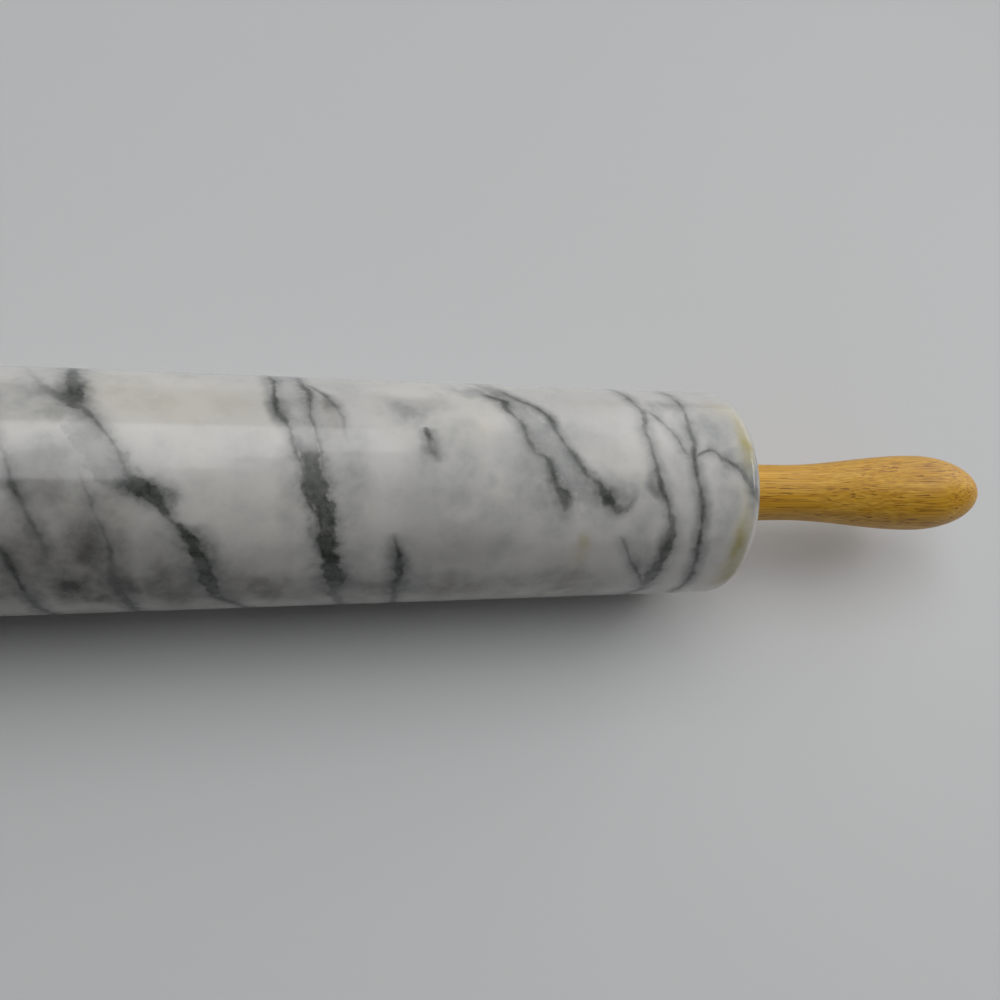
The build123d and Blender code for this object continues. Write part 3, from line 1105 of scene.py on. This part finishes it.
colour = node(tree, "Mix", {0: figure, 6: linear("#DEA82A"), 7: linear("#D0981E")}, data_type="RGBA")
streaks = node(tree, "TexNoise", {"Vector": along_grain(STREAK_LENGTH, STREAK_WIDTH), "Scale": 1.0})
share = node(tree, "MapRange", [streaks, *STREAK_LEVELS, 0.0, STREAK_SHARE], **SMOOTH)
colour = node(tree, "Mix", {0: share, 6: colour, 7: linear("#F0C050")}, data_type="RGBA")
share = node(tree, "MapRange", [fibres, *FIBRE_LEVELS, 0.0, FIBRE_SHARE], **SMOOTH)
colour = node(tree, "Mix", {0: share, 6: colour, 7: linear("#A87010")}, data_type="RGBA")
for layer, most, tint in ((early, RING_SHARE, "#BE8A20"), (pores, PORE_SHARE, "#7C4808")):
    share = node(tree, "Math", [layer, most], operation="MULTIPLY")
    colour = node(tree, "Mix", {0: share, 6: colour, 7: linear(tint)}, data_type="RGBA")
roughness = node(tree, "MapRange", [pores, 0.0, 1.0, *VARNISH_ROUGHNESS], **SMOOTH)
ridges = node(tree, "Math", [fibres, FIBRE_HEIGHT], operation="MULTIPLY")
height = node(tree, "Math", [pores, -1.0, ridges], operation="MULTIPLY_ADD")
bump = node(tree, "Bump", {"Height": height, "Strength": WOOD_BUMP, "Distance": PORE_DENT})
give(shader, Base_Color=colour, Roughness=roughness, Normal=bump)
for handle in handles:
    handle.data.materials.append(wood)
print("wood:", len(tree.nodes), "nodes on", len(handles), "handles")

# %% [markdown]
# ## The fittings
# The bushings are moulded nylon, off-white and slightly matt. Nylon lets a little light in, which softens its
# edges, and the mould leaves a fine grain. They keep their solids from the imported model, as all the fittings
# do, because a plain turned part is complete in its solid and needs only its finish.

# %% Nylon
NYLON_CLOUD_SIZE = 3.0
NYLON_GRAIN_SIZE = 0.12
GRAIN_LEVELS = (0.3, 0.7)
NYLON_ROUGHNESS = (0.42, 0.55)
NYLON_BUMP = 0.3
FINISH_RELIEF = 0.01 * MM

nylon, tree, shader = new_material("nylon_moulded", IOR=1.53, Subsurface_Weight=0.15, Subsurface_Scale=MM)
place = place_in_mm(tree)
cloudy = node(tree, "TexNoise", {"Vector": place, "Scale": 1 / NYLON_CLOUD_SIZE})
colour = node(tree, "Mix", {0: cloudy, 6: linear("#DEDACE"), 7: linear("#CFCABB")}, data_type="RGBA")
grain = node(tree, "TexNoise", {"Vector": place, "Scale": 1 / NYLON_GRAIN_SIZE})
roughness = node(tree, "MapRange", [grain, *GRAIN_LEVELS, *NYLON_ROUGHNESS], **SMOOTH)
bump = node(tree, "Bump", {"Height": grain, "Strength": NYLON_BUMP, "Distance": FINISH_RELIEF})
give(shader, Base_Color=colour, Roughness=roughness, Normal=bump)
print("nylon's grain is", NYLON_GRAIN_SIZE, "mm")

# %% [markdown]
# The rod and the washers are steel and the inserts brass, all turned on a lathe. The tool leaves fine rings
# round the axis, which spread each highlight. Real ones are a few hundredths of a millimetre apart, and here
# they are about a tenth, so that a close view shows them. A noise that reads only the place along the axis
# and the distance from it makes rings by itself, on the outside as well as on the flat faces.

# %% Turned metals
WORN_SIZE = 2.5
METAL_ROUGHNESS = (0.26, 0.42)
METAL_BUMP = 0.4


def turned_metal(name, light, dark, line_width):
    """A metal with the fine rings that a lathe tool leaves, this wide in mm, round the pin's axis."""
    metal, tree, shader = new_material(name, Metallic=1.0)
    place = place_in_mm(tree)
    x = node(tree, "SeparateXYZ", [place])
    off_axis = node(tree, "VectorMath", [place, (0, 1, 1)], operation="MULTIPLY")
    radius = node(tree, "VectorMath", [off_axis], operation="LENGTH")
    ring_place = node(tree, "CombineXYZ", [x, radius])
    rings = node(tree, "TexNoise", {"Vector": ring_place, "Scale": 1 / line_width})
    worn = node(tree, "TexNoise", {"Vector": place, "Scale": 1 / WORN_SIZE, "Detail": 3.0})
    colour = node(tree, "Mix", {0: worn, 6: linear(light), 7: linear(dark)}, data_type="RGBA")
    roughness = node(tree, "MapRange", [rings, *GRAIN_LEVELS, *METAL_ROUGHNESS], **SMOOTH)
    bump = node(tree, "Bump", {"Height": rings, "Strength": METAL_BUMP, "Distance": FINISH_RELIEF})
    give(shader, Base_Color=colour, Roughness=roughness, Normal=bump)
    print(name, "has rings", line_width, "mm wide")
    return metal


finishes = {
    "nylon": nylon,
    "steel": turned_metal("steel_turned", "#C3C4C6", "#A2A3A6", 0.08),
    "brass": turned_metal("brass_turned", "#C9A257", "#A98440", 0.10),
    "marble": marble,
    "wood": wood,
}

# %% [markdown]
# The record names a slot for each solid. Each solid gets the finish of its slot, also the three that finer
# meshes replace, so that no piece is left grey whichever of the two is shown.

# %% Finishes on the solids
for subpart in frame["record"]["subparts"]:
    mesh = frame["nodes"][subpart["node"]].data
    mesh.materials.clear()
    mesh.materials.append(finishes[subpart["material_slot"]])
    print(subpart["node"], "is finished in", subpart["material_slot"])

# %% [markdown]
# ## The table
# The pin lies on a plain white table top, with the barrel's underside on it. A plane 16 m wide, which runs
# far past the view, stands in for it. Its paint is matt, so that it shows the soft shadow and no reflection.

# %% Table
TABLE_SIZE = 16

bpy.ops.mesh.primitive_plane_add(size=TABLE_SIZE, location=(0, 0, -barrel_radius))
table = bpy.context.object
table.name = "table"
table_paint, _, shader = new_material("table_paint", Roughness=0.6)
shader.inputs["Base Color"].default_value = linear("#CDCECF")
table.data.materials.append(table_paint)
print("table top at", round(-barrel_radius / MM, 1), "mm")

# %% [markdown]
# ## The light
# Polished stone shows the room it lies in, so the room matters more than on a matt thing. The world is dim
# all round, with two wide soft bright places where the photograph's room has pale walls. A camera ray sees
# a plain pale backdrop instead.

# %% The room
ROOM_BASE = 0.02
BACKDROP = 0.85
bright_walls = (
    # degrees above the horizon, degrees from +X towards +Y, degrees it reaches, level in its middle
    (58, 50, 50, 1.0),
    (14, 36, 42, 1.55),
)

world = bpy.data.worlds.new("room")
bpy.context.scene.world = world
world.use_nodes = True
tree = world.node_tree
background = tree.nodes["Background"]
direction = node(tree, "TexCoord", out="Generated")
light = ROOM_BASE
for *angles, level in bright_walls:
    height_angle, side_angle, reach_angle = [math.radians(angle) for angle in angles]
    flat = math.cos(height_angle)
    aim = (flat * math.cos(side_angle), flat * math.sin(side_angle), math.sin(height_angle))
    facing = node(tree, "VectorMath", [direction, aim], operation="DOT_PRODUCT")
    lobe = node(tree, "MapRange", [facing, math.cos(reach_angle), 1.0, 0.0, level], **SMOOTH)
    light = node(tree, "Math", [light, lobe], operation="ADD")
seen = node(tree, "LightPath", out="Is Camera Ray")
strength = node(tree, "Mix", {0: seen, 2: light, 3: BACKDROP}, data_type="FLOAT")
tree.links.new(strength, background.inputs["Strength"])
background.inputs["Color"].default_value = (1, 1, 1, 1)
print("the room has", len(bright_walls), "bright walls")

# %% [markdown]
# The photograph's barrel carries one bright band with a crisp lower edge, which rises to the right in steps.
# Such a band is the reflection of a large light overhead whose near edge isn't straight. It is built from
# strips of different length, side by side, and two small lamps at the right brighten the neck and the grip.

# %% Lamps
LAMP_HEIGHT = 1.0
LAMP_FAR_EDGE = 0.9
lamp_strips = (
    # left edge, right edge and near edge in metres, level
    (-0.48, -0.11, -0.205, 1.9),
    (-0.11, -0.03, -0.02, 1.9),
    (-0.03, 0.05, 0.18, 1.9),
    (0.05, 0.24, 0.30, 1.5),
)


def softbox(name, place, aim, width, height, level):
    """A rectangular lamp at a place, turned to face a point, whose face is as bright as this level."""
    lamp = bpy.data.lights.new(name, "AREA")
    lamp.shape = "RECTANGLE"
    lamp.size = width
    lamp.size_y = height
    lamp.energy = math.pi * width * height * level
    box = bpy.data.objects.new(name, lamp)
    place, aim = Vector(place), Vector(aim)
    facing = (aim - place).to_track_quat("-Z", "Y")
    box.matrix_world = Matrix.Translation(place) @ facing.to_matrix().to_4x4()
    bpy.context.scene.collection.objects.link(box)
    print(name, "gives", round(lamp.energy, 2), "W")


for number, (left_edge, right_edge, near_edge, level) in enumerate(lamp_strips, start=1):
    middle = ((left_edge + right_edge) / 2, (near_edge + LAMP_FAR_EDGE) / 2)
    width, length = right_edge - left_edge, LAMP_FAR_EDGE - near_edge
    softbox(f"ceiling_strip_{number}", (*middle, LAMP_HEIGHT), (*middle, 0), width, length, level)
softbox("front_right", place=(0.32, -0.32, 0.25), aim=(0.14, 0, 0), width=0.3, height=0.3, level=0.38)
softbox("right", place=(0.50, 0.01, 0.36), aim=(0.15, 0, 0), width=0.25, height=0.12, level=3.3)
bpy.context.scene.view_settings.view_transform = "Standard"
